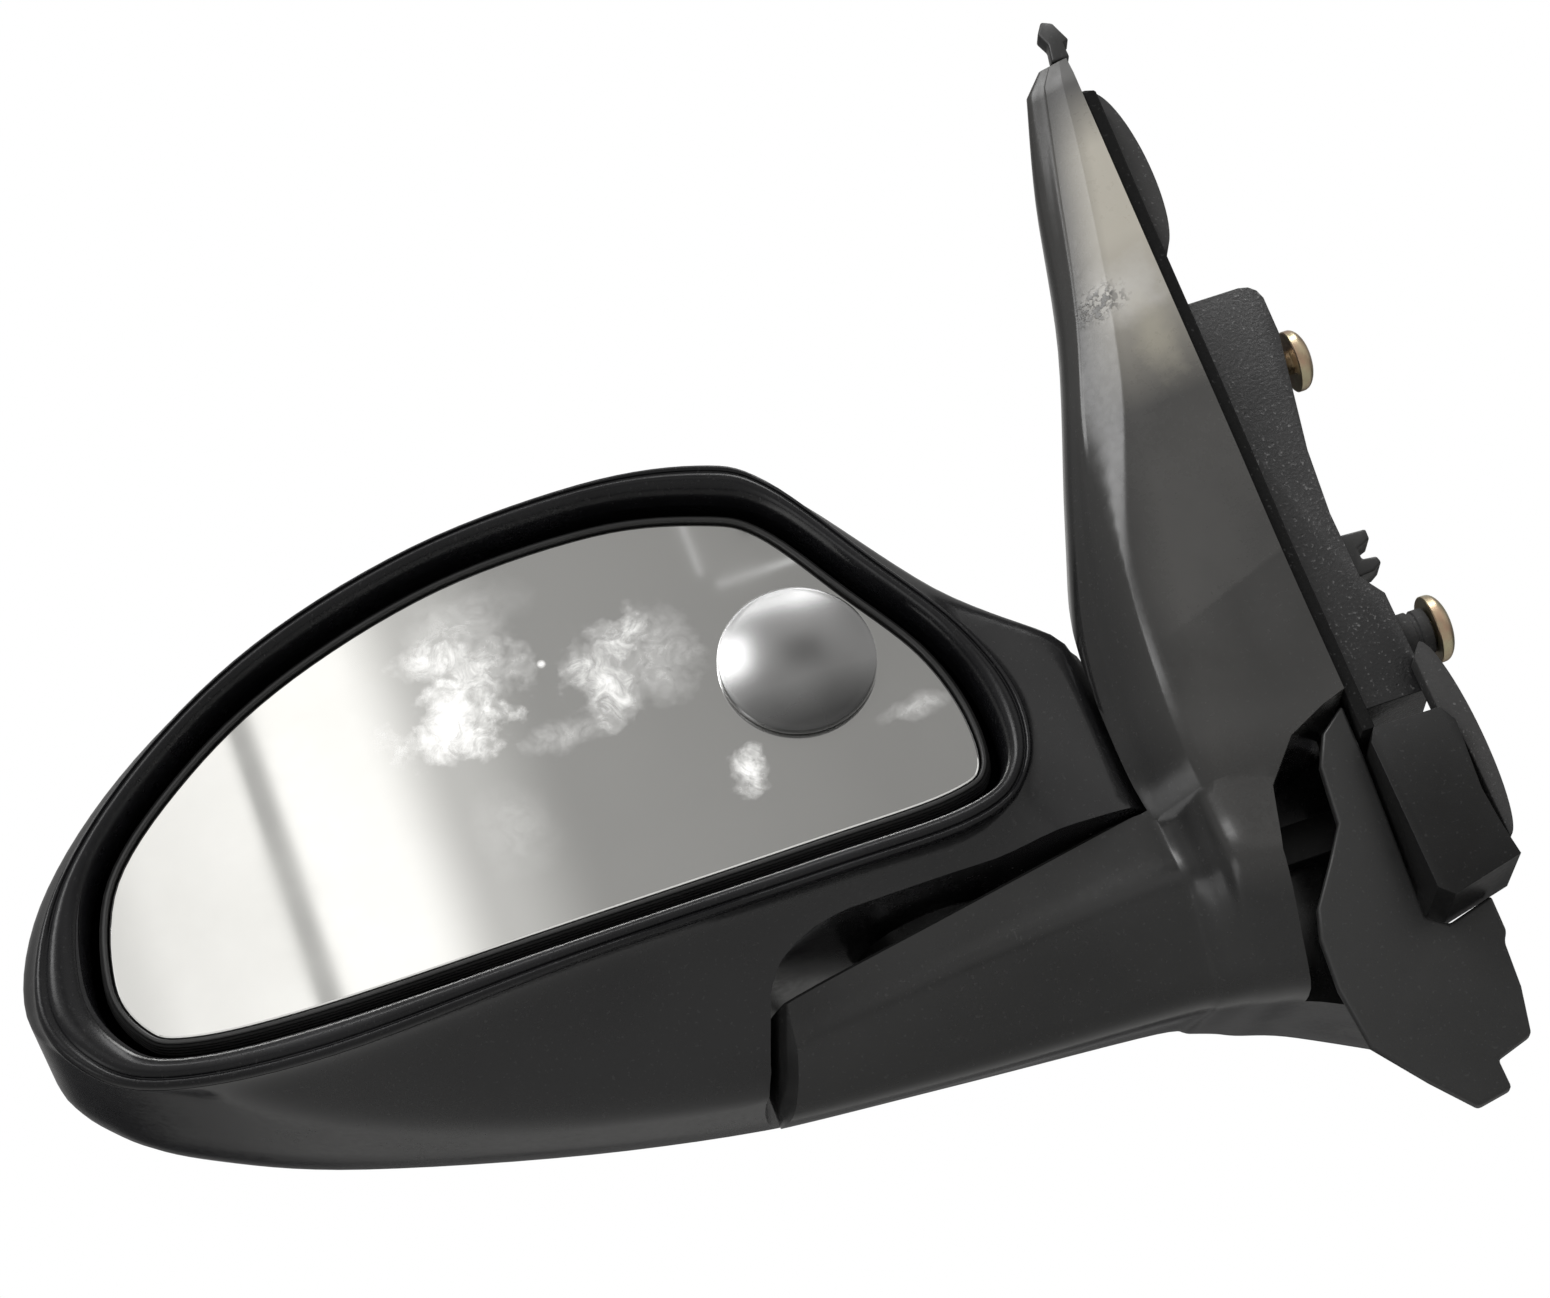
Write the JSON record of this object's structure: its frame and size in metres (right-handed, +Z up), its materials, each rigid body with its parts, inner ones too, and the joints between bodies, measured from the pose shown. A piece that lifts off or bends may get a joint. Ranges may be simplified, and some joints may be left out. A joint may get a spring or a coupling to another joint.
{
  "type": "car side mirror",
  "caption": "Left-hand car door mirror with a sail-shaped base, an arm, a folding head and a motor-driven tilting glass with a stick-on convex blind-spot disc.",
  "frame": {"origin": "on the door gasket's inboard face, at the middle of its straight rear strip, level with the rear lower corner of the sail", "axes": "+X inboard, along the gasket face's normal; +Y forwards, so the glass faces -Y; +Z up, parallel to the fold axis"},
  "size_m": [0.2903, 0.135, 0.2404],
  "materials": {
    "gloss_black": "gloss moulded, light scuffs",
    "satin_black": "satin moulded",
    "cast_black": "grained black casting",
    "rubber": "matt foam or rubber",
    "white_plastic": "natural acetal",
    "zinc_yellow": "yellow zinc plate",
    "steel": "bright",
    "brass": "plain",
    "aluminium": "die cast",
    "mirror": "silvered glass"
  },
  "bodies": {
    "base": {"base_cover": "gloss_black", "door_bracket": "cast_black", "door_gasket": "rubber", "upper_pad": "rubber", "lower_pad": "rubber", "lower_block": "satin_black", "tail_flap": "satin_black", "retaining_clip": "satin_black", "top_clip": "satin_black", "screw_upper": "zinc_yellow", "screw_lower": "zinc_yellow", "screw_collar": "rubber", "cable_grommet": "rubber", "pivot_stem": "steel", "thrust_washer": "brass", "fold_spring": "steel", "spring_retainer": "steel"},
    "head": {"housing_shell": "gloss_black", "rim_bezel": "satin_black", "head_frame": "aluminium", "actuator_base": "white_plastic", "actuator_cover": "white_plastic", "motor_pan": "steel", "motor_tilt": "steel", "frame_screw_1": "steel", "frame_screw_2": "steel", "frame_screw_3": "steel", "actuator_screw_1": "steel", "actuator_screw_2": "steel", "actuator_screw_3": "steel"},
    "gimbal": {"gimbal_cross": "white_plastic"},
    "glass": {"glass_holder": "satin_black", "adhesive_pad": "rubber", "mirror_glass": "mirror", "blind_spot_mirror": "mirror"},
    "jack_pan": {"spindle_pan": "white_plastic"},
    "jack_tilt": {"spindle_tilt": "white_plastic"},
    "gear_pan": {"drive_gear_pan": "white_plastic"},
    "gear_tilt": {"drive_gear_tilt": "white_plastic"},
    "screw_drive_pan": {"worm_pan": "brass"},
    "screw_drive_tilt": {"worm_tilt": "brass"}
  },
  "joints": [
    {"name": "head_fold", "type": "hinge", "parent": "base", "child": "head", "pos_m": [-0.088, 0.044, 0], "axis": [0, 0, 1], "range_deg": [-50, 60]},
    {"name": "glass_pan", "type": "hinge", "parent": "head", "child": "gimbal", "pos_m": [-0.158, 0.022, 0.05], "axis": [0, 0, 1], "range_deg": [-8, 8]},
    {"name": "glass_tilt", "type": "hinge", "parent": "gimbal", "child": "glass", "pos_m": [-0.158, 0.022, 0.05], "axis": [1, 0, 0], "range_deg": [-8, 8]},
    {"name": "jack_pan_slide", "type": "slide", "parent": "head", "child": "jack_pan", "axis": [0, 1, 0], "range_m": [-0.0036, 0.0036]},
    {"name": "jack_tilt_slide", "type": "slide", "parent": "head", "child": "jack_tilt", "axis": [0, 1, 0], "range_m": [-0.0036, 0.0036]},
    {"name": "gear_pan_spin", "type": "hinge", "parent": "head", "child": "gear_pan", "pos_m": [-0.133, 0.043, 0.05], "axis": [0, 1, 0], "range_deg": [-425, 425]},
    {"name": "gear_tilt_spin", "type": "hinge", "parent": "head", "child": "gear_tilt", "pos_m": [-0.158, 0.043, 0.025], "axis": [0, 1, 0], "range_deg": [-425, 425]},
    {"name": "worm_pan_spin", "type": "hinge", "parent": "head", "child": "screw_drive_pan", "pos_m": [-0.1478, 0.043, 0.05], "axis": [0, 0, 1], "range_deg": [-10100, 10100]},
    {"name": "worm_tilt_spin", "type": "hinge", "parent": "head", "child": "screw_drive_tilt", "pos_m": [-0.158, 0.043, 0.0398], "axis": [1, 0, 0], "range_deg": [-10100, 10100]}
  ],
  "couplings": [
    {"joint": "jack_pan_slide", "follows": "glass_pan", "m_per_rad": 0.025},
    {"joint": "jack_tilt_slide", "follows": "glass_tilt", "m_per_rad": 0.025},
    {"joint": "gear_pan_spin", "follows": "glass_pan", "ratio": 52.36},
    {"joint": "gear_tilt_spin", "follows": "glass_tilt", "ratio": 52.36},
    {"joint": "worm_pan_spin", "follows": "glass_pan", "ratio": 1256.6},
    {"joint": "worm_tilt_spin", "follows": "glass_tilt", "ratio": 1256.6}
  ]
}
